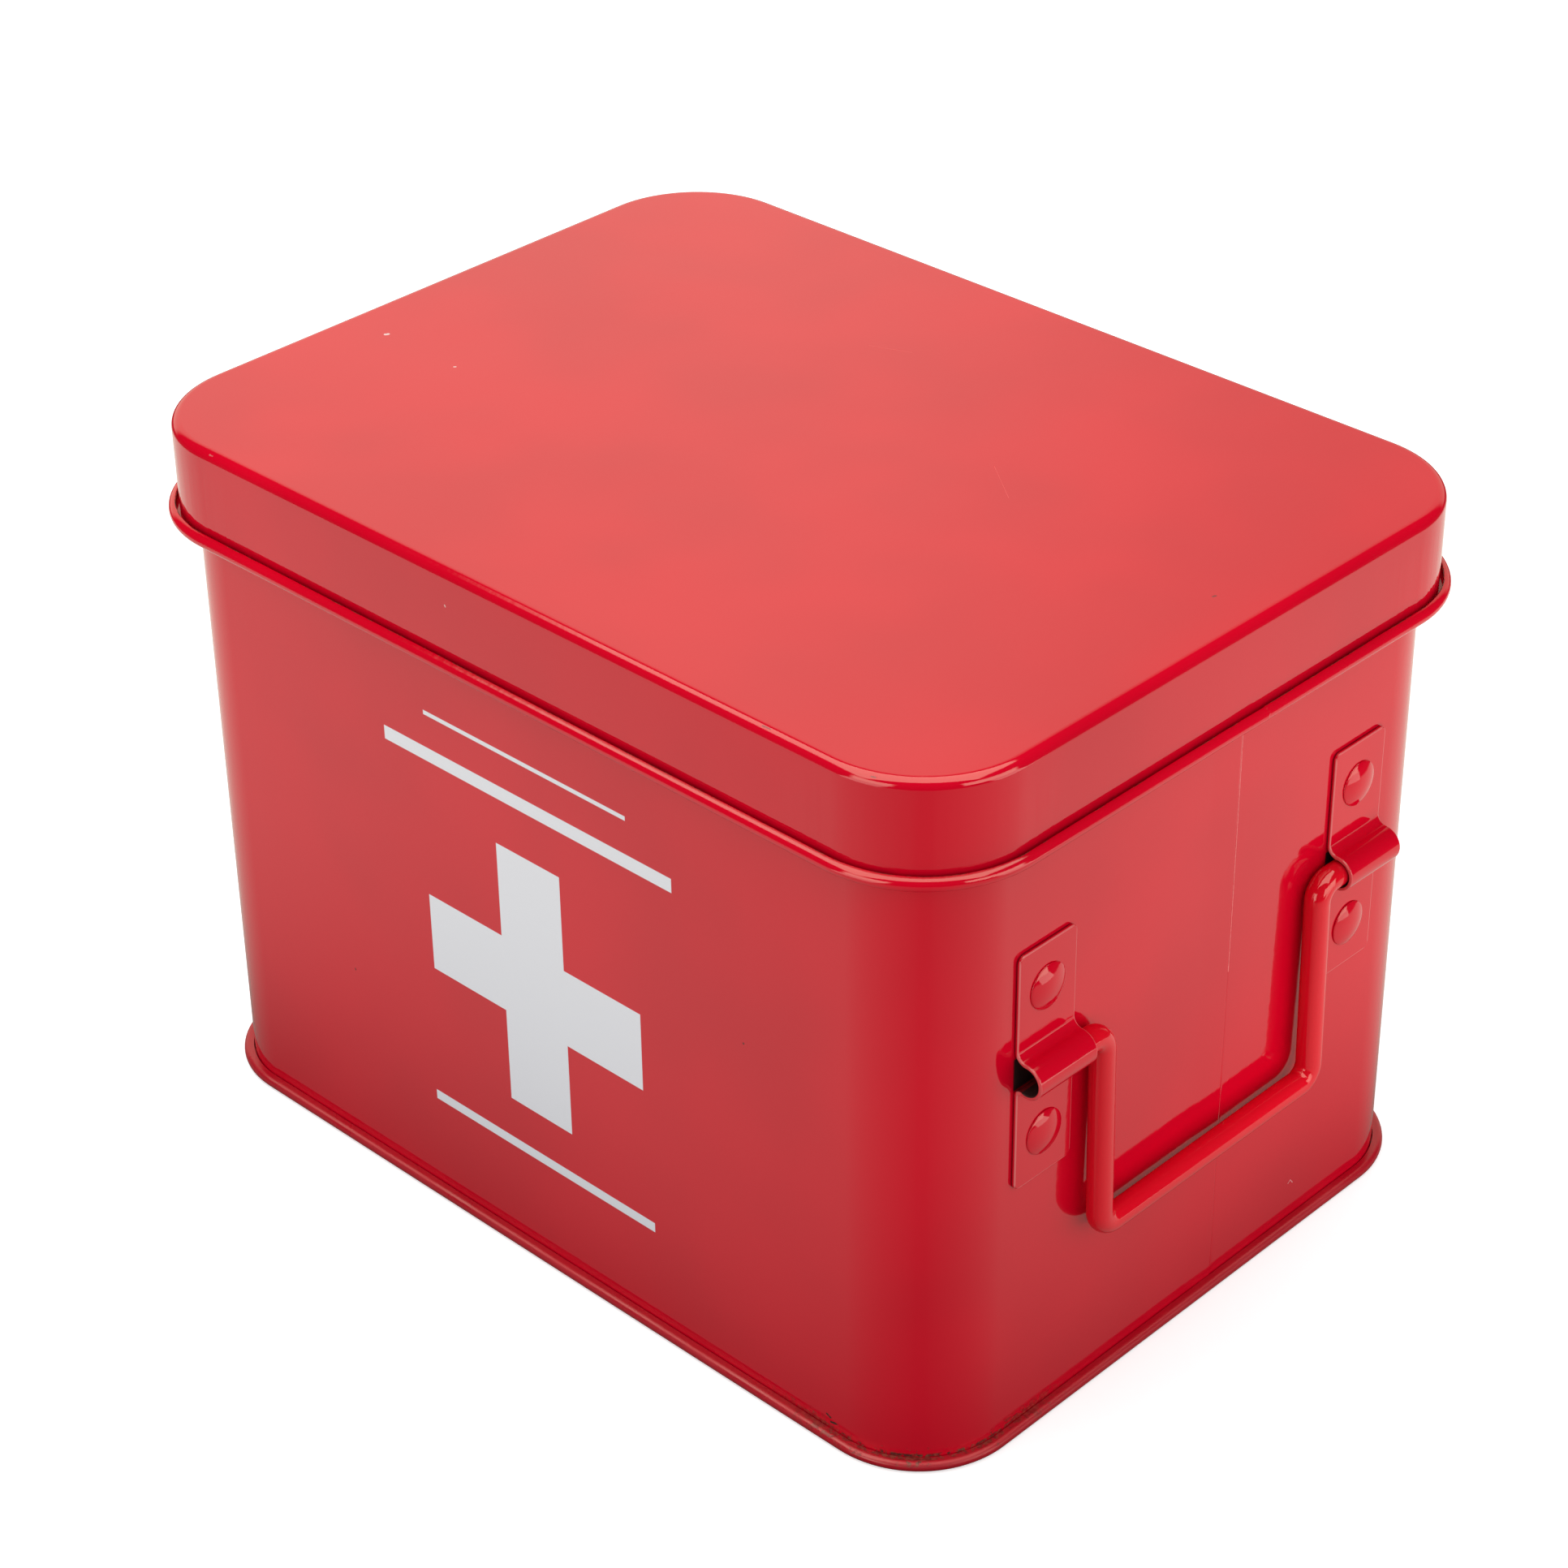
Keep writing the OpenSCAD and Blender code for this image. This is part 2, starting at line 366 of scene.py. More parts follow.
def make_piece(
    name: str,
    bm: BMesh,
    material: Finish,
    body: str,
    node: str,
    sheet: float = 0.0,
    edge: float = 0.12,
    inside: Finish | None = None,
) -> Object:
    """Turns a mesh in millimetres into a finished, riding piece.

    Args:
        name: The piece's name.
        bm: Its mesh, which is used up.
        material: Its finish.
        body: The body that carries it.
        node: The CAD node that it stands for.
        sheet: The sheet's thickness, or 0 for a solid.
        edge: The rounding of sharp edges.
        inside: The finish of a sheet's inner face, if it has its own.

    Returns:
        The new object.
    """
    bmesh.ops.scale(bm, vec=Vector((MM, MM, MM)), verts=bm.verts)
    mesh = bpy.data.meshes.new(name)
    bm.to_mesh(mesh)
    bm.free()
    mesh.polygons.foreach_set("use_smooth", [True] * len(mesh.polygons))
    piece = link_object(name, mesh)
    mesh.materials.append(material)
    if inside is not None:
        mesh.materials.append(inside)
    if sheet > 0:
        solid = piece.modifiers.new("Sheet", "SOLIDIFY")
        solid.thickness = sheet * MM
        solid.offset = -1.0
        solid.use_even_offset = True
        solid.material_offset = 0 if inside is None else 1
    bevel = piece.modifiers.new("Edges", "BEVEL")
    bevel.width = edge * MM
    bevel.segments = 3
    bevel.limit_method = "ANGLE"
    bevel.angle_limit = math.radians(50.0)
    normals = piece.modifiers.new("Normals", "WEIGHTED_NORMAL")
    normals.keep_sharp = True
    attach(piece, body)
    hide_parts(node)
    LOG.info("%s: %d faces, rides on %s", name, len(mesh.polygons), body)
    return piece


# -------- node arithmetic


def empty_tree(owner: Finish | bpy.types.World) -> Tree:
    """Gives a material or a world nodes and takes the first ones away.

    Args:
        owner: The material or world.

    Returns:
        Its empty node tree.
    """
    owner.use_nodes = True
    owner.node_tree.nodes.clear()
    return owner.node_tree


def add_node(
    tree: Tree, kind: str, inputs: Values | None = None, settings: Values | None = None
) -> bpy.types.Node:
    """Adds a shader node, sets its settings, and fills or links its inputs.

    Args:
        tree: The node tree.
        kind: The node's type name after the word ShaderNode.
        inputs: A value, field or socket for each input, by name or index.
        settings: Attributes of the node.

    Returns:
        The new node.
    """
    node = tree.nodes.new("ShaderNode" + kind)
    for key, value in (settings or {}).items():
        setattr(node, key, value)
    for key, value in (inputs or {}).items():
        source = value.socket if isinstance(value, Field) else value
        if isinstance(source, bpy.types.NodeSocket):
            tree.links.new(source, node.inputs[key])
        else:
            node.inputs[key].default_value = source
    return node


@dataclass(frozen=True)
class Field:
    """A value that varies over a surface, with arithmetic that adds the nodes for it."""

    tree: Tree
    socket: bpy.types.NodeSocket

    def of(
        self, kind: str, inputs: Values, settings: Values | None = None, out: int = 0
    ) -> "Field":
        """Adds a node to the same tree.

        Args:
            kind: The node's type name after the word ShaderNode.
            inputs: Inputs by name or index.
            settings: Attributes of the node.
            out: Which of its outputs is wanted.

        Returns:
            The field at that output.
        """
        return Field(self.tree, add_node(self.tree, kind, inputs, settings).outputs[out])

    def math(self, how: str, other: Any = 0.0) -> "Field":
        """One Math node of this number and another."""
        return self.of("Math", {0: self, 1: other}, {"operation": how})

    def __add__(self, other: Any) -> "Field":
        """This number and another."""
        return self.math("ADD", other)

    def __sub__(self, other: Any) -> "Field":
        """This number less another."""
        return self.math("SUBTRACT", other)

    def __mul__(self, other: Any) -> "Field":
        """This number times another."""
        return self.math("MULTIPLY", other)

    def __truediv__(self, other: Any) -> "Field":
        """This number over another."""
        return self.math("DIVIDE", other)

    def __abs__(self) -> "Field":
        """This number without its sign."""
        return self.math("ABSOLUTE")

    def larger(self, other: Any) -> "Field":
        """The larger of this number and another."""
        return self.math("MAXIMUM", other)

    def ramp(self, low: float, high: float, to_low: float = 0.0, to_high: float = 1.0) -> "Field":
        """A smooth step from one limit of this number to another.

        Args:
            low: Where the step starts.
            high: Where it ends, above or below the start.
            to_low: The result at the start.
            to_high: The result at the end.

        Returns:
            The step's height.
        """
        return self.of(
            "MapRange",
            {"Value": self, "From Min": low, "From Max": high, "To Min": to_low, "To Max": to_high},
            {"interpolation_type": "SMOOTHSTEP"},
        )

    def band(self, low: float, high: float, soft: float) -> "Field":
        """1 between two limits of this number and 0 outside them, with soft ends."""
        return self.ramp(low - soft, low + soft) * self.ramp(high + soft, high - soft)

    def pick(self, off: Any, on: Any) -> "Field":
        """One number where this field is 0 and another where it is 1."""
        return self.of("Mix", {0: self, 2: off, 3: on}, {"data_type": "FLOAT"})

    def paint(self, under: Any, over: Any) -> "Field":
        """One colour where this field is 0 and another where it is 1."""
        return self.of("Mix", {0: self, 6: under, 7: over}, {"data_type": "RGBA"}, 2)

    def vector(self, how: str, other: Any = (0.0, 0.0, 0.0), out: int = 0) -> "Field":
        """One Vector Math node of this vector and another; its second output is a number."""
        return self.of("VectorMath", {0: self, 1: other}, {"operation": how}, out)

    def noise(self, millimetres: float, detail: float = 2.0, rough: float = 0.5) -> "Field":
        """Noise over this vector.

        Args:
            millimetres: About how large its features are.
            detail: How many finer octaves it has.
            rough: How strong they are.

        Returns:
            The noise, from 0 to 1.
        """
        scale = 1.0 / millimetres
        inputs = {"Vector": self, "Scale": scale, "Detail": detail, "Roughness": rough}
        return self.of("TexNoise", inputs)

    def bump(self, depth_mm: float, under: "Field | None" = None) -> "Field":
        """Tilts the surface as if it rose with this number.

        Args:
            depth_mm: How far it rises from 0 to 1.
            under: The normal of the surface below, if it is tilted already.

        Returns:
            The tilted normal.
        """
        inputs = {"Distance": depth_mm * MM, "Height": self}
        if under is not None:
            inputs["Normal"] = under
        return self.of("Bump", inputs)


def hypotenuse(a: Field, b: Field) -> Field:
    """The length of a step with these two sides."""
    return (a * a + b * b).math("SQRT")


@dataclass(frozen=True)
class Place:
    """A point of a surface, whole and by its axes."""

    whole: Field
    x: Field
    y: Field
    z: Field

    @classmethod
    def read(cls, tree: Tree, output: str, scale: float) -> "Place":
        """Reads the point's coordinates.

        Args:
            tree: The node tree.
            output: Which coordinates.
            scale: What they are multiplied by.

        Returns:
            The point.
        """
        coords = Field(tree, add_node(tree, "TexCoord").outputs[output])
        whole = coords.of("VectorMath", {0: coords, "Scale": scale}, {"operation": "SCALE"})
        axes = add_node(tree, "SeparateXYZ", {0: whole}).outputs
        return cls(whole, *(Field(tree, axis) for axis in axes))

    @classmethod
    def on_object(cls, tree: Tree) -> "Place":
        """The point on its object, in millimetres."""
        return cls.read(tree, "Object", 1.0 / MM)

    def nowhere(self) -> Field:
        """A mask that is 0 everywhere."""
        return self.x * 0.0

    def radius(self) -> Field:
        """How far the point is from the rectangle of the corner centres.

        Returns:
            The distance, 0 inside the rectangle.
        """
        dx = (abs(self.x) - SIZES.corner_x).larger(0.0)
        dy = (abs(self.y) - SIZES.corner_y).larger(0.0)
        return hypotenuse(dx, dy)

    def out(self) -> Field:
        """How far the point stands out from the end walls."""
        return abs(self.x) - SIZES.wall_x

    def across(self) -> Field:
        """How far the point is from the middle of a bracket, along the width."""
        return abs(abs(self.y) - SIZES.bracket_y)

    def above(self) -> Field:
        """How far the point is above the bails' pivots."""
        return self.z - SIZES.pivot_z


# -------- finishes


@dataclass(frozen=True)
class Nick:
    """One chip, speck or scratch in the paint, or one painted highlight line, as a stroke between
    two points in millimetres.
    """

    start: Point
    end: Point
    width: float
    colour: str


class Print(Enum):
    """The white printed shapes of the front, as left, right, foot and head in millimetres."""

    UPRIGHT = (-8.1, 12.2, 41.5, 111.9)
    ACROSS = (-32.5, 36.4, 66.4, 87.0)
    FINE_RULE = (-30.0, 34.0, 136.2, 137.3)
    BROAD_RULE = (-44.0, 47.5, 124.0, 127.6)
    LOW_RULE = (-35.0, 38.6, 27.6, 30.2)


LID_NICKS = (
    Nick((-110.5, -25.1, 180.0), (-110.2, -24.6, 180.0), 0.5, "#D9B9B4"),
    Nick((-85.5, -25.7, 180.0), (-85.4, -25.5, 180.0), 0.35, "#D9A9A4"),
    Nick((78.4, -91.3, 179.6), (80.6, -91.2, 179.6), 0.22, "#9A5552"),
    Nick((116.6, -85.2, 178.9), (117.5, -84.2, 178.9), 0.36, "#8A5A56"),
    Nick((106.6, -90.2, 179.4), (107.5, -89.9, 179.4), 0.2, "#9A5552"),
    Nick((-94.0, -91.7, 179.2), (-93.0, -91.7, 179.2), 0.25, "#B84A48"),
    Nick((-15.1, -92.5, 171.3), (-15.0, -92.5, 171.1), 0.26, "#D9A9A4"),
    Nick((111.9, 9.1, 180.0), (112.0, 9.5, 180.0), 0.4, "#7E2A2A"),
    Nick((40.0, 22.0, 180.0), (52.0, 13.0, 180.0), 0.05, "#D8504E"),
    Nick((-22.0, 48.0, 180.0), (-12.0, 52.0, 180.0), 0.05, "#D8504E"),
)
WALL_NICKS_AND_HIGHLIGHTS = (
    Nick((120.8, -78.6, 61.6), (120.8, -75.8, 61.9), 0.16, "#E2A09C"),
    Nick((120.8, -75.8, 61.9), (120.8, -74.4, 60.9), 0.14, "#E2A09C"),
    Nick((120.8, 38.9, 12.4), (120.8, 39.7, 13.0), 0.13, "#D8888A"),
    Nick((120.8, 39.7, 13.0), (120.8, 40.6, 11.8), 0.13, "#D8888A"),
    Nick((91.6, -88.3, 5.9), (92.8, -88.3, 5.4), 0.3, "#3A1A12"),
    Nick((92.9, -88.3, 4.2), (94.4, -88.3, 4.6), 0.35, "#3A1A12"),
    Nick((-62.0, -88.3, 52.0), (-61.9, -88.3, 51.8), 0.3, "#7E2A2A"),
    Nick((68.0, -88.3, 95.0), (68.1, -88.3, 95.1), 0.3, "#7E2A2A"),
    # painted highlight: pale lines down the lock seam, with a small jog part way down
    Nick((120.8, 10.4, 150.0), (120.8, 10.3, 88.0), 0.12, "#E07070"),
    Nick((120.8, 10.2, 89.5), (120.8, 10.0, 86.8), 0.14, "#E89490"),
    Nick((120.8, 9.9, 87.0), (120.8, 9.9, 5.0), 0.12, "#D85C60"),
    Nick((-40.0, 88.3, 70.0), (-36.5, 88.3, 66.0), 0.14, "#E2A09C"),
    Nick((-120.8, 14.0, 40.0), (-120.8, 17.0, 38.5), 0.14, "#E2A09C"),
)


@dataclass(frozen=True)
class Marks(Place):
    """What sets one spot of the paint apart from the rest, as masks over its point."""

    def thin_edges(self) -> Field:
        """A painted highlight: a pale line along the cut edges of the straps, weaker on the loops.

        Returns:
            The mask.
        """
        line, on_flat, on_loop = 0.45, 0.36, 0.16
        half, reach = SIZES.strap_width / 2, SIZES.strap_reach
        side = self.across().ramp(half - line, half - line / 2)
        tip = abs(self.above()).ramp(reach - line, reach - line / 2)
        out = self.out()
        return side.larger(tip) * out.ramp(0.7, 0.8) * out.ramp(1.2, 2.4, on_flat, on_loop)

    def missed_behind_loops(self) -> Field:
        """Painted shade on the wall behind the rolled loops.

        Returns:
            The mask.
        """
        bore, half = SIZES.pivot_x, SIZES.strap_width / 2
        tall = abs(self.above()).ramp(bore + 1.1, bore + 0.5)
        wide = self.across().ramp(half + 0.3, half - 0.3)
        return tall * wide * self.out().ramp(-0.1, -0.05)

    def missed_in_loops(self) -> Field:
        """Painted shade in the bore of the rolled loops, in the crook of their feet, and in the
        crease under the straps.

        Returns:
            The mask.
        """
        toe_x, toe_z, toe_r, crease = 1.8, -5.1, 1.8, 0.3
        bore, half = SIZES.pivot_x, SIZES.strap_width / 2
        out, above = self.out(), self.above()
        loop = hypotenuse(out - bore, above).ramp(bore + 0.3, bore + 0.2)
        dx, dz = out - toe_x, above - toe_z
        toe = hypotenuse(dx, dz).ramp(toe_r - 0.5, toe_r - 0.3)
        toe = toe * dz.band(0.1, toe_r + 0.2, 0.1) * dx.ramp(0.8, 0.4)
        toe = toe * self.across().ramp(half - 0.15, half - 0.3, 0.0, 0.8)
        return loop.larger(toe).larger(out.band(0.0, crease, 0.05))

    def rim_chips(self) -> Field:
        """Bare steel along the lip of the curled rim, in ragged lengths.

        Returns:
            The mask.
        """
        lip = self.radius().ramp(SIZES.curl_r + 0.25, SIZES.curl_r + 0.1)
        lip = lip * self.z.ramp(SIZES.rim_z + 0.9, SIZES.rim_z + 1.1)
        return lip * self.whole.noise(5.0, 3.0).ramp(0.5, 0.6)

    def seam_chips(self) -> Field:
        """Bare steel in the bottom seam's groove and splashed over it, near one corner.

        Returns:
            The mask.
        """
        grain, patches = self.whole.noise(1.6, 4.0, 0.65), self.whole.noise(14.0)
        groove = self.radius().ramp(SIZES.wall_r + 1.6, SIZES.wall_r + 0.9)
        groove = groove * self.z.band(2.5, 3.3, 0.35)
        groove = groove * (grain + patches * 0.35).ramp(0.58, 0.66)
        splash = self.z.band(2.0, 4.6, 1.2) * (grain + patches * 0.6).ramp(0.86, 0.92)
        near_corner = (self.x - self.y).ramp(150.0, 200.0)
        return groove.larger(splash) * near_corner

    def draw_marks(self) -> Field:
        """Fine upright ripples that drawing leaves in the skirt beside each corner.

        Returns:
            Their height.
        """
        reach, height = 14.0, 0.9
        ripple = self.whole.vector("MULTIPLY", (1, 1, 0.04)).noise(2.2)
        side = (abs(self.x) - (SIZES.corner_x - reach)).larger(0.0)
        end = (abs(self.y) - (SIZES.corner_y - reach)).larger(0.0)
        skirt = self.z.ramp(SIZES.height - 2.0, SIZES.height - 8.0)
        return ripple * (side * end).ramp(20.0, 300.0) * skirt * height

    def stroke(self, nick_or_highlight: Nick) -> Field:
        """1 along the stroke of a nick or painted highlight line, with a ragged edge.

        Args:
            nick_or_highlight: The stroke.

        Returns:
            The mask.
        """
        start, run = Vector(nick_or_highlight.start), Vector(nick_or_highlight.end) - Vector(nick_or_highlight.start)
        away = self.whole.vector("SUBTRACT", tuple(start))
        along = away.vector("DOT_PRODUCT", tuple(run / max(run.length_squared, 1e-6)), 1)
        along = along.larger(0.0).math("MINIMUM", 1.0)
        foot = along.of("VectorMath", {0: tuple(run), "Scale": along}, {"operation": "SCALE"})
        gap = away.vector("SUBTRACT", foot).vector("LENGTH", out=1)
        ragged = (self.whole.noise(0.6) - 0.5) * nick_or_highlight.width
        return (gap + ragged).ramp(nick_or_highlight.width, nick_or_highlight.width * 0.7)

    def print_mask(self) -> Field:
        """The white print on the front: a cross with plain rules above and below.

        Returns:
            The mask.
        """
        face, soft = SIZES.inset - SIZES.width / 2, 0.12
        shape = self.nowhere()
        for left, right, foot, head in (area.value for area in Print):
            shape = shape.larger(self.x.band(left, right, soft) * self.z.band(foot, head, soft))
        return shape * self.y.ramp(face + 0.3, face + 0.15)


@dataclass(frozen=True)
class GlossEnamel:
    """Sprayed and baked gloss enamel on drawn sheet steel.

    A thick coat with sharp reflections that waver with the thin sheet under it, and
    brown bare steel where a folded edge has rubbed.
    """

    name: str
    colour: str = "#C80321"
    chip_colour: str = "#2E130E"
    pit_colour: str = "#6B4632"
    ink_colour: str = "#E6E6EE"
    # painted highlight colour for the straps' cut edges
    thin_colour: str = "#F2A6A2"
    # painted shade colour for the loops, the crease under the straps and the wall behind the loops
    missed_colour: str = "#1C0305"
    roughness: float = 0.035
    bare_roughness: float = 0.62
    waves_mm: float = 34.0
    wave_depth_mm: float = 0.1
    peel_mm: float = 1.9
    peel_depth_mm: float = 0.012
    film_mm: float = 0.06
    chip_depth: float = 0.6
    ink_rise: float = 0.25
    shade_mm: float = 60.0
    shade_gain: float = 1.12
    haze_mm: float = 22.0
    haze_gain: float = 1.9
    printed: bool = False
    rim_wear: bool = False
    seam_wear: bool = False
    streaked: bool = False
    # painted highlight on the strap edges and painted shade in the loops
    strap_marks: bool = False
    # painted shade on the wall behind the loops
    loop_shade: bool = False
    nicks: tuple[Nick, ...] = ()

    def build(self) -> Finish:
        """Makes the material.

        Returns:
            The material.
        """
        material = bpy.data.materials.new(self.name)
        tree = empty_tree(material)
        place = Marks.on_object(tree)
        deep = srgb(self.colour)
        light = tuple(min(1.0, c * self.shade_gain) for c in deep[:3]) + (1.0,)
        colour = place.whole.noise(self.shade_mm).ramp(0.3, 0.7).paint(deep, light)
        bare = place.nowhere()
        if self.rim_wear:
            bare = bare.larger(place.rim_chips())
        if self.seam_wear:
            bare = bare.larger(place.seam_chips())
        height = bare * -self.chip_depth
        if self.printed:
            ink = place.print_mask()
            colour = ink.paint(colour, srgb(self.ink_colour))
            height = height + ink * self.ink_rise
        if self.streaked:
            height = height + place.draw_marks()
        colour = bare.paint(colour, self.rust(place))
        # painted highlight: a pale line along the straps' cut edges
        if self.strap_marks:
            colour = place.thin_edges().paint(colour, srgb(self.thin_colour))
        marks = [(place.stroke(nick_or_highlight), nick_or_highlight.colour) for nick_or_highlight in self.nicks]
        # painted shade inside the loops, in their feet and under the straps, then on the wall
        # behind the loops
        if self.strap_marks:
            marks.insert(0, (place.missed_in_loops(), self.missed_colour))
        if self.loop_shade:
            marks.insert(0, (place.missed_behind_loops(), self.missed_colour))
        # nicks, painted highlight lines and painted shade are painted over the colour and take bare
        # steel's roughness
        for mask, code in marks:
            colour = mask.paint(colour, srgb(code))
            bare = bare.larger(mask)
        dull = self.roughness * self.haze_gain
        haze = place.whole.noise(self.haze_mm, 4.0).ramp(0.35, 0.7, self.roughness, dull)
        coat = {
            "Base Color": colour,
            "Roughness": haze.larger(bare * self.bare_roughness),
            "IOR": 1.5,
            "Normal": self.relief(place, height),
        }
        paint = add_node(tree, "BsdfPrincipled", coat)
        add_node(tree, "OutputMaterial", {"Surface": paint.outputs[0]})
        return material

    def relief(self, place: Place, height: Field) -> Field:
        """The coat's own shape: the sheet's slow waves, then orange peel, then the film.

        Args:
            place: The point.
            height: How the film rises, in parts of its thickness.

        Returns:
            The normal.
        """
        waves = place.whole.noise(self.waves_mm, 1.0).bump(self.wave_depth_mm)
        peel = place.whole.noise(self.peel_mm, 1.0).bump(self.peel_depth_mm, waves)
        return height.bump(self.film_mm, peel)

    def rust(self, place: Place) -> Field:
        """Rusty brown steel with lighter pits."""
        spots = place.whole.noise(0.9, 3.0).ramp(0.4, 0.65)
        return spots.paint(srgb(self.chip_colour), srgb(self.pit_colour))


# the lid: a cooler red and the smoothest coat, with drawn ripples beside its corners
LID_PAINT = GlossEnamel(
    "gloss enamel, lid", colour="#C30320", peel_depth_mm=0.006, streaked=True, nicks=LID_NICKS
)
# the wall: the same gloss red with the white print, chips along rim and seam, scratches, painted
# highlight lines down the lock seam, and painted shade behind the rolled loops
WALL_PAINT = GlossEnamel(
    "gloss enamel, printed wall",
    printed=True,
    rim_wear=True,
    seam_wear=True,
    loop_shade=True,
    nicks=WALL_NICKS_AND_HIGHLIGHTS,
)
# the folded seam at the foot: a duller red, made darker partly as painted shade near the table,
# with brown steel in its groove
SEAM_PAINT = GlossEnamel(
    "dull enamel, bottom seam", colour="#A8041C", roughness=0.24, seam_wear=True
)
# the neck under the lid: plain gloss red
NECK_PAINT = GlossEnamel("gloss enamel, neck")
# the straps and rivets: gloss red, with a painted highlight along cut edges and painted shade
# inside the loops and under the straps
STRAP_PAINT = GlossEnamel(
    "gloss enamel, straps", waves_mm=12.0, wave_depth_mm=0.03, strap_marks=True
)
# the bails: a brighter, slightly softer gloss on round wire
WIRE_PAINT = GlossEnamel(
    "gloss enamel, wire", colour="#D20A20", roughness=0.05, waves_mm=9.0, wave_depth_mm=0.03
)
# the inner faces: a thin, satin coat of the same red
THIN_COAT = GlossEnamel("thin enamel, inside", colour="#B8061F", roughness=0.2)


# -------- parts


@dataclass
class RingPart:
    """A sheet part that runs all round the tin. Each kind draws its own section."""

    name: str
    node: str
    sheet: float
    body: str = "tin"
    slot: str = "body_enamel"
    panel_z: float | None = None
    seam: Stops = ()

    def section(self) -> SheetSection:
        """The section of the sheet's outer face."""
        raise NotImplementedError

    def build(self, finish: Finish, inside: Finish) -> Object:
        """Carries the section round the tin and closes the part's panel, if it has one.

        Args:
            finish: The outer coat.
            inside: The inner coat.

        Returns:
            The part.
        """
        bm = carry_round(self.section(), self.seam)
        if self.panel_z is not None:
            close_panel(bm, self.panel_z)
        face_outwards(bm, Vector((1, 0, 0)))
        return make_piece(
            self.name, bm, finish, self.body, self.node, self.sheet, inside=inside
        )


@dataclass
class Lid(RingPart):
    """The drawn lid: flat top, soft edge, deep skirt and a hem folded in at its foot."""

    name: str = "lid_shell"
    node: str = "lid"
    sheet: float = 0.6
    body: str = "lid"
    slot: str = "lid_enamel"
    panel_z: float | None = SIZES.height
    edge: float = 2.4
    hem: float = 4.5
    foot_r: float = 0.7
    rest_gap: float = 0.3
    rim_width: float = 9.0

    def section(self) -> SheetSection:
        """The lid from the flat of its top to the lip of its hem.

        Returns:
            The section.
        """
        r, top = SIZES.corner, SIZES.height
        bend_z = SIZES.ledge_z + self.rest_gap + self.foot_r
        section = SheetSection(r - self.rim_width, top)
        section.line(r - self.edge, top)
        section.arc(r - self.edge, top - self.edge, -90.0, 10)
        section.line(r, bend_z, 3)
        section.arc(r - self.foot_r, bend_z, -180.0, 8)
        return section.line(r - 2 * self.foot_r, bend_z + self.hem)


@dataclass
class BodyWall(RingPart):
    """The rolled wall sheet with its lock seam, stepped out and curled into the rim."""

    name: str = "wall_sheet"
    node: str = "body_wall"
    sheet: float = SIZES.wall
    # the lock seam's joint: a fine groove with one side a hair proud of the other
    seam: Stops = ((1.0, 0.0), (9.6, -0.14), (9.9, -0.14), (10.15, 0.1), (10.6, 0.0), (19.0, 0.0))
    foot_z: float = 0.7
    bend_r: float = 0.6

    def section(self) -> SheetSection:
        """The wall from the bottom seam to the lip of the rim.

        Returns:
            The section.
        """
        r, under = SIZES.wall_r, SIZES.rim_z - SIZES.rim_r
        section = SheetSection(r, self.foot_z)
        section.line(r, under - self.bend_r, 6)
        section.arc(r + self.bend_r, under - self.bend_r, -90.0, 5)
        section.line(SIZES.curl_r, under)
        return section.arc(SIZES.curl_r, SIZES.rim_z, 180.0, 16)


@dataclass
class NeckRing(RingPart):
    """The ring that the lid slides over, with its foot held in the curled rim."""

    name: str = "neck_sheet"
    node: str = "neck_ring"
    sheet: float = 0.6
    gap: float = 0.35
    height: float = 16.0
    foot_r: float = 0.3
    flange: float = 0.75

    def section(self) -> SheetSection:
        """The neck from its top edge down to its flange inside the curl.

        Returns:
            The section.
        """
        r, foot = SIZES.corner - 2 * SIZES.lid_sheet - self.gap, SIZES.ledge_z
        section = SheetSection(r, foot + self.height)
        section.line(r, foot + self.foot_r, 2)
        section.arc(r + self.foot_r, foot + self.foot_r, 90.0, 4)
        return section.line(SIZES.curl_r + self.flange, foot)


@dataclass
class BottomPanel(RingPart):
    """The raised bottom, turned down along the wall and curled round its foot."""

    name: str = "bottom_sheet"
    node: str = "bottom_panel"
    sheet: float = 0.62
    panel_z: float | None = 3.2
    gauge: float = 0.65
    out: float = 2.7
    panel_r: float = 0.8
    foot_r: float = 0.5
    rim_width: float = 12.0
    lip_gap: float = 0.25

    def section(self) -> SheetSection:
        """The bottom from the flat of its panel round the seam to its edge.

        Returns:
            The section.
        """
        rise, roll = self.panel_z, 2 * self.gauge
        roll_x = SIZES.wall_r + self.out - roll
        inner = SIZES.wall_r - SIZES.wall - self.gauge
        section = SheetSection(inner - self.rim_width, rise)
        section.line(inner - self.panel_r, rise)
        section.arc(inner - self.panel_r, rise - self.panel_r, -90.0, 5)
        section.line(inner, self.foot_r)
        section.arc(inner + self.foot_r, self.foot_r, 90.0, 4)
        section.line(roll_x, 0.0)
        section.arc(roll_x, roll, 180.0, 14)
        return section.line(SIZES.wall_r + self.lip_gap, 2 * roll)


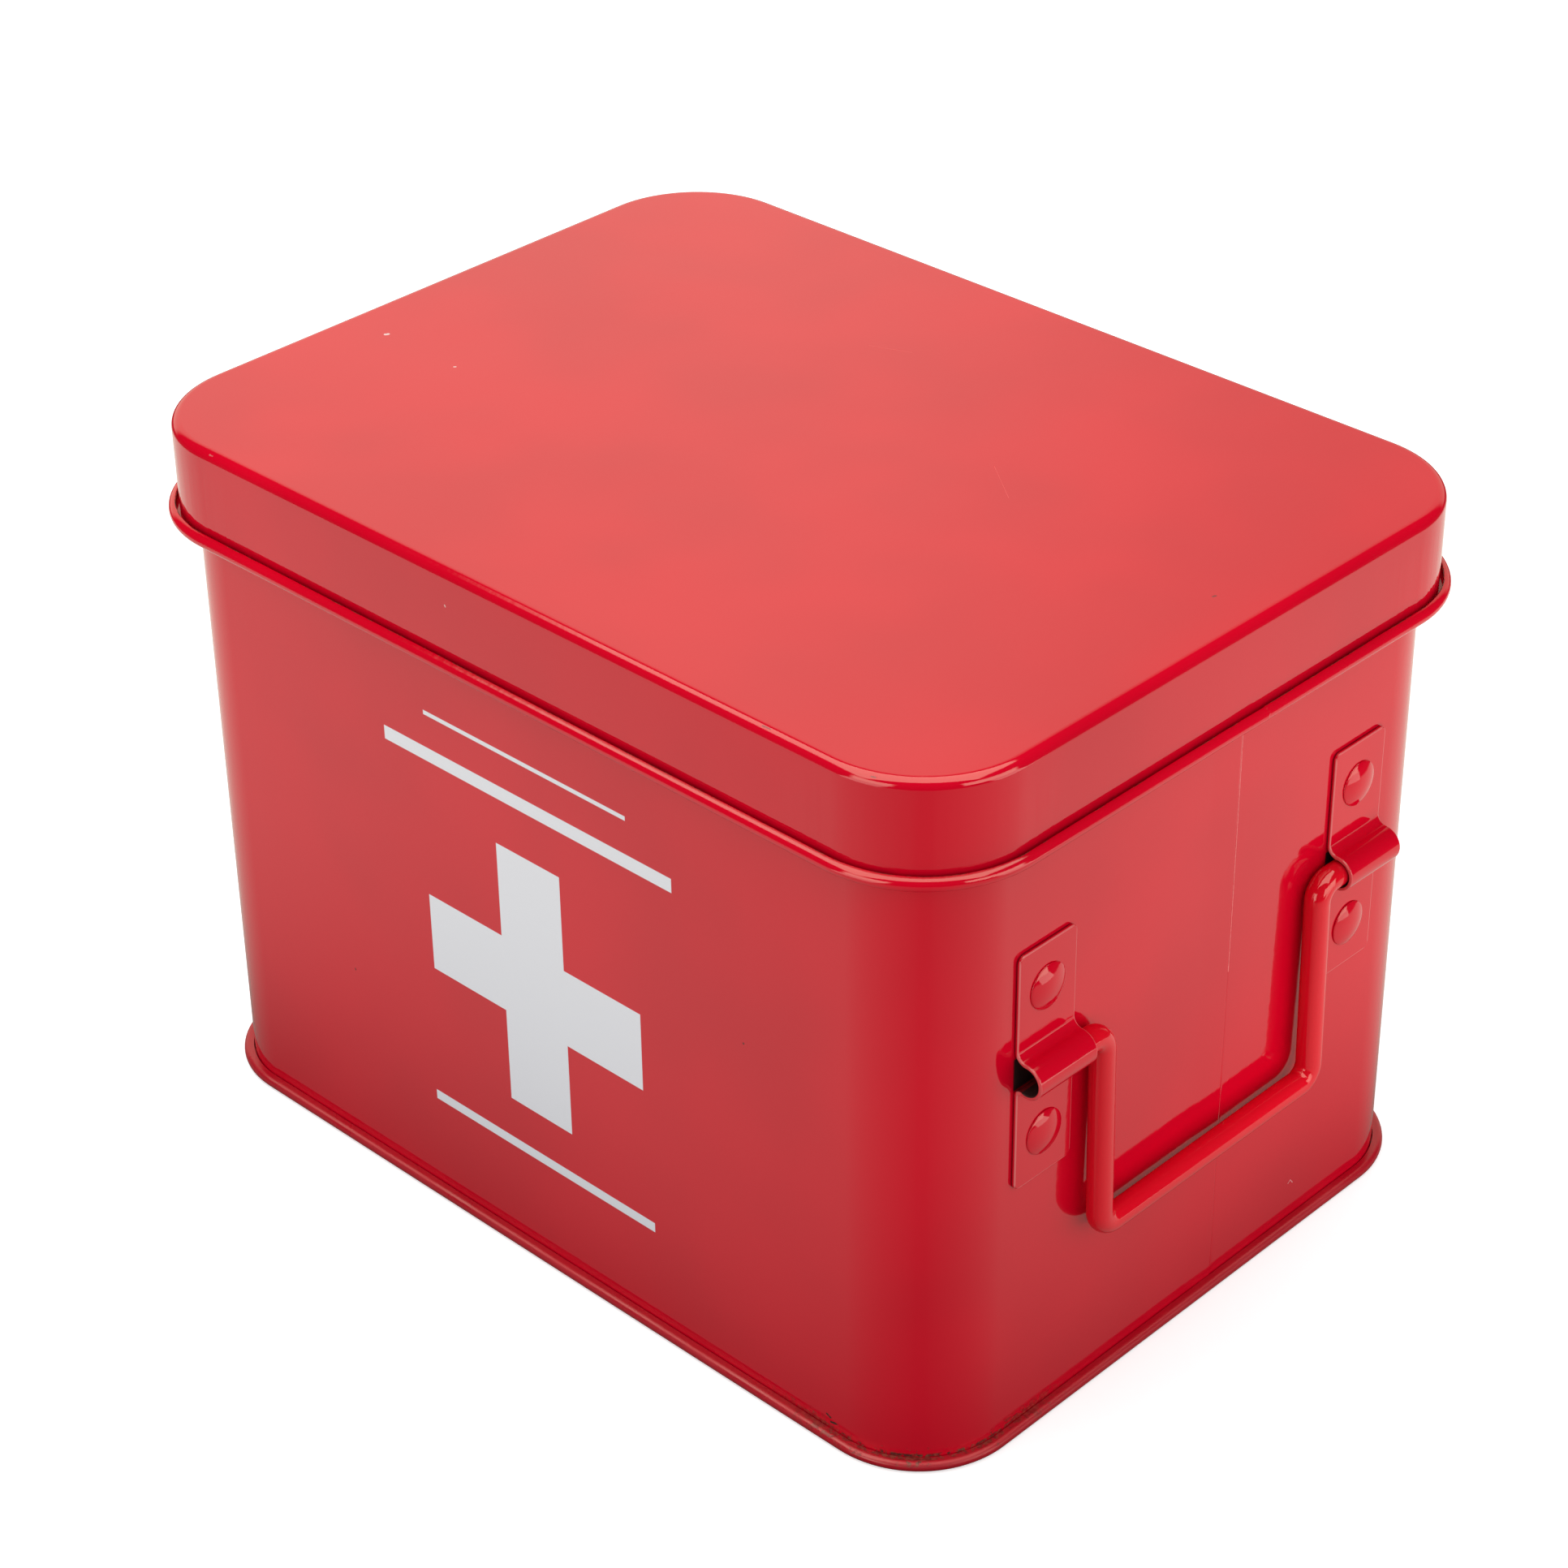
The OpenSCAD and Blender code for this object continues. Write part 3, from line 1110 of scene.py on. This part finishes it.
@dataclass
class EndFittings:
    """The brackets, rivets and bail of one end wall."""

    end: End
    strap_sheet: float = 0.985
    strap_corner: float = 1.8
    foot_r: float = 0.8
    rivet_reach: float = 18.8
    head_r: float = 5.5
    head_h: float = 1.7
    head_rim: float = 0.3
    shank_r: float = 2.5
    tail_r: float = 4.0
    tail_face_r: float = 3.1
    tail_side: float = 0.96
    tail_h: float = 1.2
    drop: float = 52.0
    leg_y: float = 37.2
    bend_r: float = 4.3
    stub: float = 12.0
    lean: float = 1.2

    def seat(self, bm: BMesh, out: float, y: float, above: float) -> None:
        """Moves a mesh drawn outwards from the wall to its seat on this end.

        Args:
            bm: The mesh.
            out: How far its origin stands out from the wall.
            y: Where its origin lies along the width.
            above: How far its origin is above the pivot.
        """
        spot = Vector((SIZES.wall_x + out, y, SIZES.pivot_z + above))
        bmesh.ops.translate(bm, verts=bm.verts, vec=spot)
        if self.end is End.LEFT:
            bmesh.ops.scale(bm, vec=Vector((-1, 1, 1)), verts=bm.verts)
        face_outwards(bm, Vector((self.end.value, 0, 0)))

    def bracket(self, row: Row, finish: Finish) -> Object:
        """Rolls one strap with its loop.

        Args:
            row: Which bracket it is.
            finish: Its coat.

        Returns:
            The strap.
        """
        face, px, reach = SIZES.strap, SIZES.pivot_x, SIZES.strap_reach
        loop, half, pushes = px + face, SIZES.strap_width / 2, 6
        fold_z = px - face + loop
        section = SheetSection(face, reach)
        section.line(face, fold_z, 3)
        section.arc(px, fold_z, 90.0, 10)
        section.arc(px, 0.0, -180.0, 30)
        section.line(face + self.foot_r, -loop)
        section.arc(face + self.foot_r, -loop - self.foot_r, 90.0, 6)
        section.line(face, -reach, 3)
        bm, edges = section.bm, list(section.bm.edges)
        bmesh.ops.translate(bm, verts=section.verts, vec=Vector((0, -half, 0)))
        for _ in range(pushes):
            edges = push_edges(bm, edges, Vector((0, SIZES.strap_width / pushes, 0)))
        bmesh.ops.bevel(
            bm,
            geom=[v for v in bm.verts if max(reach - abs(v.co.z), half - abs(v.co.y)) < 1e-4],
            offset=self.strap_corner,
            segments=6,
            profile=0.5,
            affect="VERTICES",
            material=-1,
            clamp_overlap=True,
        )
        self.seat(bm, 0.0, row.value * SIZES.bracket_y, 0.0)
        place, slot = f"{self.end.word}_{row.word}", "bracket_enamel"
        name, node = f"strap_{place}", f"bracket_{place}"
        return make_piece(name, bm, finish, "tin", node, self.strap_sheet, edge=0.34)

    def rivet(self, row: Row, level: Level, finish: Finish) -> Object:
        """Turns one rivet: dome outside, shank, and upset tail inside the wall.

        Args:
            row: Which bracket it holds.
            level: Which end of the bracket.
            finish: Its coat.

        Returns:
            The rivet.
        """
        dome = self.head_h - self.head_rim
        ball = (self.head_r**2 + dome**2) / (2 * dome)
        grip = -SIZES.strap - SIZES.wall
        section = SheetSection(0.0, self.head_h)
        sweep = math.degrees(math.asin(self.head_r / ball))
        section.arc(0.0, self.head_h - ball, -sweep, 10)
        section.line(self.head_r, 0.0).line(self.shank_r, 0.0).line(self.shank_r, grip)
        section.line(self.tail_r, grip).line(self.tail_face_r, grip - self.tail_side)
        section.line(0.0, grip - self.tail_h)
        bm = section.bm
        Turn((0.0, 0.0, 0.0), UPRIGHT, 360.0, 40).spin(bm, list(bm.verts) + list(bm.edges))
        bmesh.ops.remove_doubles(bm, verts=bm.verts, dist=1e-4)
        tip_over(bm, 90.0, "Y")
        above = level.value * self.rivet_reach
        self.seat(bm, SIZES.strap, row.value * SIZES.bracket_y, above)
        name = f"rivet_{self.end.word}_{row.word}_{level.word}"
        return make_piece("dome_" + name, bm, finish, "tin", name, edge=0.25)

    def bail(self, finish: Finish) -> Object:
        """Bends the wire bail: stub, quarter turn, leg, quarter turn and grip, mirrored.

        Args:
            finish: Its coat.

        Returns:
            The bail.
        """
        bm = bmesh.new()
        bend, along = self.bend_r, (1.0, 0.0, 0.0)
        end_y = SIZES.bracket_y - SIZES.strap_width / 2 + self.stub
        top_y, low_y, low_z = self.leg_y + bend, self.leg_y - bend, bend - self.drop
        bmesh.ops.create_circle(bm, cap_ends=False, segments=32, radius=SIZES.wire_r)
        tip_over(bm, 90.0, "X")
        bmesh.ops.translate(bm, verts=bm.verts, vec=Vector((0, end_y, 0)))
        edges = list(bm.edges)
        bmesh.ops.edgeloop_fill(bm, edges=edges)
        edges = push_edges(bm, edges, Vector((0, top_y - end_y, 0)))
        edges = Turn((0.0, top_y, -bend), along, 90.0, 14).sweep(bm, edges)
        edges = push_edges(bm, edges, Vector((0, 0, low_z + bend)))
        edges = Turn((0.0, low_y, low_z), along, -90.0, 14).sweep(bm, edges)
        push_edges(bm, edges, Vector((0, -low_y, 0)))
        half = list(bm.verts) + list(bm.edges) + list(bm.faces)
        bmesh.ops.mirror(bm, geom=half, axis="Y", merge_dist=1e-3)
        tip_over(bm, -self.lean, "Y")
        self.seat(bm, SIZES.pivot_x, 0.0, 0.0)
        node = f"bail_{self.end.word}"
        return make_piece("wire_" + node, bm, finish, node, node, edge=0.5)


# -------- studio


def fan(ahead: Field, aside: Field, low: float, high: float, soft: float) -> Field:
    """A fan-shaped patch of the table that starts at its middle.

    Args:
        ahead: Distance along the fan.
        aside: Distance square to it.
        low: One side, as aside over ahead.
        high: The other side.
        soft: How soft its sides are.

    Returns:
        The mask.
    """
    return (aside / ahead.larger(1.0)).band(low, high, soft) * ahead.ramp(0.0, 1.0)


@dataclass(frozen=True)
class Lamp:
    """One square lamp or white card, in metres and watts, that only matt surfaces show."""

    name: str
    size: float
    energy: float
    place: Point
    aim: Point

    def hang(self) -> Object:
        """Puts the lamp in the scene, turned to the point that it faces.

        Returns:
            The lamp.
        """
        light = bpy.data.lights.new(self.name, "AREA")
        light.size = self.size
        light.energy = self.energy
        lamp = link_object(self.name, light)
        lamp.location = self.place
        way = Vector(self.aim) - Vector(self.place)
        lamp.rotation_euler = way.to_track_quat("-Z", "Y").to_euler()
        lamp.visible_camera = False
        lamp.visible_glossy = False
        return lamp


# one large soft light high above, and two white cards low beside the right end
LAMPS = (
    Lamp("softbox", 0.9, 9.0, (-0.25, -0.1, 1.5), (0.0, 0.0, 0.1)),
    Lamp("card", 0.12, 0.13, (0.265, 0.085, 0.002), (0.265, 0.085, 1.0)),
    Lamp("low card", 0.06, 0.01, (0.205, 0.085, 0.03), (0.0, 0.085, 0.03)),
)


@dataclass
class Studio:
    """A white table in a white room, with a lit ceiling and two windows for the gloss."""

    toward: tuple[float, float] = (0.70, -0.72)
    table_m: float = 6.0
    table_colour: Colour = (0.8, 0.8, 0.8, 1.0)
    table_tint: Colour = (1.0, 1.0, 0.88, 1.0)
    table_glow: float = 0.5
    room_tint: Colour = (1.0, 0.98, 0.8, 1.0)
    ceiling_level: float = 3.9
    window_level: float = 4.0
    patch_level: float = 2.6
    shade_floor: float = 0.34
    shade_gain: float = 0.37

    def floor(self) -> Object:
        """The table, nearly white to the eye. Light and gloss see it glow, less near the tin.

        Returns:
            The table.
        """
        bm = bmesh.new()
        bmesh.ops.create_grid(bm, x_segments=1, y_segments=1, size=self.table_m)
        mesh = bpy.data.meshes.new("table")
        bm.to_mesh(mesh)
        bm.free()
        table = link_object("table", mesh)
        material = bpy.data.materials.new("matt white table")
        tree = empty_tree(material)
        place = Place.on_object(tree)
        shade = self.camera_shade(place)
        path = add_node(tree, "LightPath").outputs
        soft = place.radius().ramp(20.0, 300.0, 0.08, 1.22) * (shade * 0.95 + 0.05)
        level = Field(tree, path["Is Glossy Ray"]).pick(soft, self.table_gloss(place, shade))
        unseen = level.of("Emission", {"Color": self.table_tint, "Strength": level})
        matt = level.of("BsdfDiffuse", {"Color": self.table_colour})
        glow = level.of("Emission", {"Color": WHITE, "Strength": self.table_glow})
        seen = level.of("AddShader", {0: matt, 1: glow})
        both = level.of("MixShader", {0: path["Is Camera Ray"], 1: unseen, 2: seen})
        add_node(tree, "OutputMaterial", {"Surface": both})
        mesh.materials.append(material)
        return table

    def table_gloss(self, place: Place, shade: Field) -> Field:
        """What the tin's gloss shows of the table: dark close by, bright under the windows.

        Args:
            place: The point on the table.
            shade: How light the table is on this side of the tin.

        Returns:
            The level.
        """
        near_mm, fall_mm, open_level, loss = 20.0, 75.0, 1.01, 0.84
        radius = place.radius()
        fall = ((radius - near_mm) * (-1.0 / fall_mm)).math("EXPONENT")
        lit = (fall * -loss + open_level) * radius.ramp(640.0, 430.0, 0.05, 1.0) * shade
        right = fan(place.x, place.y, 0.05, 0.6, 0.03)
        front = fan(place.y * -1.0, place.x, -0.27, 0.3, 0.05)
        patch = right.larger(front) * radius.ramp(400.0, 460.0)
        return lit.larger(patch * self.patch_level)

    def camera_shade(self, place: Place) -> Field:
        """Darker table on the camera's side, which the near corner shows.

        Args:
            place: The point on the table.

        Returns:
            The level, up to 1.
        """
        dx, dy = place.x - SIZES.corner_x, place.y + SIZES.corner_y
        toward = dx * self.toward[0] + dy * self.toward[1]
        turn = (toward / hypotenuse(dx, dy).larger(1.0)).math("ARCCOSINE")
        return (turn * self.shade_gain + self.shade_floor).math("MINIMUM", 1.0)

    def room_gloss(self, way: Place) -> Field:
        """What the tin's gloss shows of the room: a white back, a lit ceiling and two windows.

        Args:
            way: The direction looked in.

        Returns:
            The level.
        """
        x, y, z = way.x, way.y, way.z
        toward_x, toward_y = self.toward
        behind = x * -toward_x + y * -toward_y
        aside = x * -toward_y + y * toward_x
        back = behind.ramp(0.56, 0.72) * aside.ramp(0.18, -0.02, 0.74, 1.17)
        ceiling = behind.band(-0.57, 0.46, 0.03) * aside.band(-0.76, 0.6, 0.04)
        ceiling = ceiling * x.ramp(-0.67, -0.63) * y.ramp(0.61, 0.56) * z.ramp(0.4, 0.5)
        right = x.ramp(0.7, 0.75) * y.band(-0.28, 0.5, 0.03)
        front = y.ramp(-0.7, -0.75) * x.band(-0.27, 0.3, 0.05)
        windows = right.larger(front) * z.band(-0.05, 0.38, 0.03)
        lit = (ceiling * self.ceiling_level).larger(windows * self.window_level)
        return back.larger(lit) + 0.02

    def surroundings(self) -> None:
        """White to the eye, soft grey light for matt surfaces, and the room for gloss."""
        world = bpy.data.worlds.new("white room")
        bpy.context.scene.world = world
        tree = empty_tree(world)
        way = Place.read(tree, "Generated", 1.0)
        below, above, from_right, from_back = 1.02, 0.68, 0.46, -0.15
        soft = way.z.ramp(-0.1, 1.0, below, above)
        soft = soft + way.x.larger(0.0) * from_right + way.y * from_back
        path = add_node(tree, "LightPath").outputs
        is_gloss = Field(tree, path["Is Glossy Ray"])
        level = is_gloss.pick(soft, self.room_gloss(way))
        glow = {
            "Color": is_gloss.paint(WHITE, self.room_tint),
            "Strength": Field(tree, path["Is Camera Ray"]).pick(level, 1.0),
        }
        background = add_node(tree, "Background", glow)
        add_node(tree, "OutputWorld", {"Surface": background.outputs[0]})


@dataclass
class Viewpoint:
    """The camera, by its bearing round the tin and its distance from a point in it."""

    azimuth: float = 44.2829
    elevation: float = 32.3988
    roll: float = -0.78695
    distance: float = 913.885
    focal_px: float = 4725.126
    frame_px: float = 1932.0
    sensor_mm: float = 36.0
    target: Point = (-5.938, 0.961, 86.65)

    def build(self) -> Object:
        """Makes the camera and gives it to the scene.

        Returns:
            The camera.
        """
        az, el, roll = (math.radians(a) for a in (self.azimuth, self.elevation, self.roll))
        back = Vector((math.sin(az) * math.cos(el), -math.cos(az) * math.cos(el), math.sin(el)))
        right = Vector((math.cos(az), math.sin(az), 0.0))
        up = back.cross(right)
        level_right = right * math.cos(roll) + up * math.sin(roll)
        level_up = up * math.cos(roll) - right * math.sin(roll)
        lens = bpy.data.cameras.new("camera")
        lens.sensor_width = self.sensor_mm
        lens.lens = self.focal_px / self.frame_px * self.sensor_mm
        lens.clip_start = 0.05
        lens.clip_end = 30.0
        camera = link_object("camera", lens)
        turn = Matrix((level_right, level_up, back)).transposed().to_4x4()
        spot = (Vector(self.target) + back * self.distance) * MM
        camera.matrix_world = Matrix.Translation(spot) @ turn
        bpy.context.scene.camera = camera
        return camera


def main() -> None:
    """Builds the tin's pieces in order, then the studio, and reports each."""
    logging.basicConfig(level=logging.INFO, format="%(name)s %(message)s")
    bpy.context.scene.view_settings.view_transform = "Standard"
    Viewpoint().build()
    thin_coat = THIN_COAT.build()
    Lid().build(LID_PAINT.build(), thin_coat)
    BodyWall().build(WALL_PAINT.build(), thin_coat)
    NeckRing().build(NECK_PAINT.build(), thin_coat)
    BottomPanel().build(SEAM_PAINT.build(), thin_coat)
    strap_paint, wire_paint = STRAP_PAINT.build(), WIRE_PAINT.build()
    for end in End:
        fittings = EndFittings(end)
        for row in Row:
            fittings.bracket(row, strap_paint)
            for level in Level:
                fittings.rivet(row, level, strap_paint)
        fittings.bail(wire_paint)
    studio = Studio()
    studio.floor()
    studio.surroundings()
    for lamp in LAMPS:
        lamp.hang()


if __name__ == "__main__":
    main()
